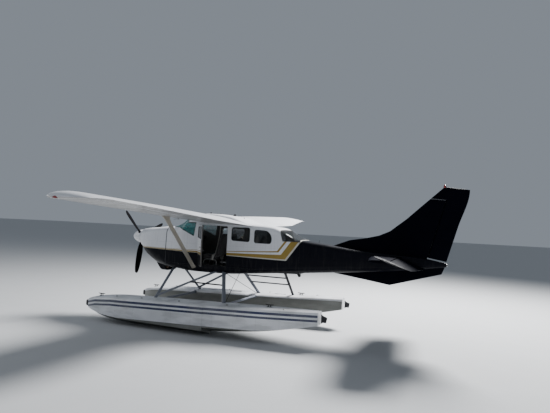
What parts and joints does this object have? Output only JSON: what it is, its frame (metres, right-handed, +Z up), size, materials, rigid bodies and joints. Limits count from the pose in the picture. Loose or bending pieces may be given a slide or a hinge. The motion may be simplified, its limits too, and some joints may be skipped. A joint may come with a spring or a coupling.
{
  "type": "floatplane",
  "caption": "High-wing strut-braced single-engine utility aircraft on twin floats, with turning propeller, control surfaces, doors and water rudders",
  "frame": {"origin": "on the ground below the middle of the overall length, on the plane of symmetry", "axes": "+X points aft, +Y points to starboard, +Z points up; the thrust line is parallel to X"},
  "size_m": [9, 10.92, 3.605],
  "materials": {
    "white_paint": "gloss",
    "navy_paint": "gloss",
    "cream_paint": "satin",
    "bare_steel": "satin",
    "engine_metal": "satin",
    "exhaust_steel": "satin",
    "blade_black": "satin",
    "tinted_glass": "gloss",
    "panel_black": "matte",
    "seat_cloth": "matte"
  },
  "bodies": {
    "airframe": {"cowling": "white_paint", "engine_block": "engine_metal", "exhaust_pipe": "exhaust_steel", "firewall": "bare_steel", "windshield": "tinted_glass", "rear_window": "tinted_glass", "cabin_floor": "navy_paint", "cabin_side_left": "white_paint", "cabin_side_right": "white_paint", "window_middle_left": "tinted_glass", "window_middle_right": "tinted_glass", "window_rear_left": "tinted_glass", "window_rear_right": "tinted_glass", "front_deck": "white_paint", "cabin_roof": "white_paint", "instrument_panel": "panel_black", "seat_front_left": "seat_cloth", "seat_front_right": "seat_cloth", "seat_middle_left": "seat_cloth", "seat_middle_right": "seat_cloth", "rear_bulkhead": "bare_steel", "tailcone": "navy_paint", "wing_left": "white_paint", "wing_right": "white_paint", "wing_strut_left": "cream_paint", "wing_strut_right": "cream_paint", "stabilizer_left": "navy_paint", "stabilizer_right": "navy_paint", "fin": "navy_paint", "ventral_fin": "navy_paint", "float_left": "white_paint", "float_right": "white_paint", "front_strut_left": "cream_paint", "front_strut_right": "cream_paint", "rear_strut_left": "cream_paint", "rear_strut_right": "cream_paint", "diagonal_brace_left": "cream_paint", "diagonal_brace_right": "cream_paint", "spreader_front": "bare_steel", "spreader_rear": "bare_steel", "boarding_step_left": "bare_steel", "boarding_step_right": "bare_steel"},
    "propeller": {"spinner": "white_paint", "propeller_blade_1": "blade_black", "propeller_blade_2": "blade_black", "propeller_blade_3": "blade_black"},
    "rudder": {"rudder": "navy_paint"},
    "elevator": {"elevator": "navy_paint"},
    "aileron_left": {"aileron_left": "white_paint"},
    "aileron_right": {"aileron_right": "white_paint"},
    "flap_left": {"flap_left": "white_paint"},
    "flap_right": {"flap_right": "white_paint"},
    "pilot_door": {"pilot_door": "white_paint", "pilot_door_window": "tinted_glass"},
    "passenger_door": {"passenger_door": "white_paint", "passenger_door_window": "tinted_glass"},
    "water_rudder_left": {"water_rudder_left": "bare_steel"},
    "water_rudder_right": {"water_rudder_right": "bare_steel"}
  },
  "joints": [
    {"name": "propeller_spin", "type": "hinge", "parent": "airframe", "child": "propeller", "pos_m": [-3.84, 0, 2.1], "axis": [1, 0, 0], "continuous": true},
    {"name": "rudder_turn", "type": "hinge", "parent": "airframe", "child": "rudder", "pos_m": [3.658, 0, 1.99], "axis": [0.2628, 0, 0.9648], "range_deg": [-24, 24]},
    {"name": "elevator_turn", "type": "hinge", "parent": "airframe", "child": "elevator", "pos_m": [3.065, 0, 1.96], "axis": [0, -1, 0], "range_deg": [0, 39]},
    {"name": "aileron_left_turn", "type": "hinge", "parent": "airframe", "child": "aileron_left", "pos_m": [-0.875, -3.085, 2.758], "axis": [-0.1084, -0.9927, 0.0525], "range_deg": [-18, 18]},
    {"name": "aileron_right_turn", "type": "hinge", "parent": "airframe", "child": "aileron_right", "pos_m": [-0.875, 3.085, 2.758], "axis": [0.1084, -0.9927, -0.0525], "range_deg": [-18, 18]},
    {"name": "flap_left_turn", "type": "hinge", "parent": "airframe", "child": "flap_left", "pos_m": [-0.848, -0.65, 2.517], "axis": [0, 0.9988, -0.0489], "range_deg": [0, 40]},
    {"name": "flap_right_turn", "type": "hinge", "parent": "airframe", "child": "flap_right", "pos_m": [-0.848, 0.65, 2.517], "axis": [0, 0.9988, 0.0489], "range_deg": [0, 40]},
    {"name": "pilot_door_swing", "type": "hinge", "parent": "airframe", "child": "pilot_door", "pos_m": [-1.773, -0.61566, 2], "axis": [0, 0, -1], "range_deg": [-55, 15]},
    {"name": "passenger_door_swing", "type": "hinge", "parent": "airframe", "child": "passenger_door", "pos_m": [-1.773, 0.61566, 2], "axis": [0, 0, 1], "range_deg": [0, 70]},
    {"name": "water_rudder_left_turn", "type": "hinge", "parent": "airframe", "child": "water_rudder_left", "pos_m": [1.635, -1.2, 0.63], "axis": [0, 0, 1], "range_deg": [-30, 30]},
    {"name": "water_rudder_right_turn", "type": "hinge", "parent": "airframe", "child": "water_rudder_right", "pos_m": [1.635, 1.2, 0.63], "axis": [0, 0, 1], "range_deg": [-30, 30]}
  ],
  "couplings": [
    {"joint": "aileron_right_turn", "follows": "aileron_left_turn", "ratio": -1},
    {"joint": "flap_right_turn", "follows": "flap_left_turn", "ratio": 1},
    {"joint": "water_rudder_right_turn", "follows": "water_rudder_left_turn", "ratio": 1}
  ]
}
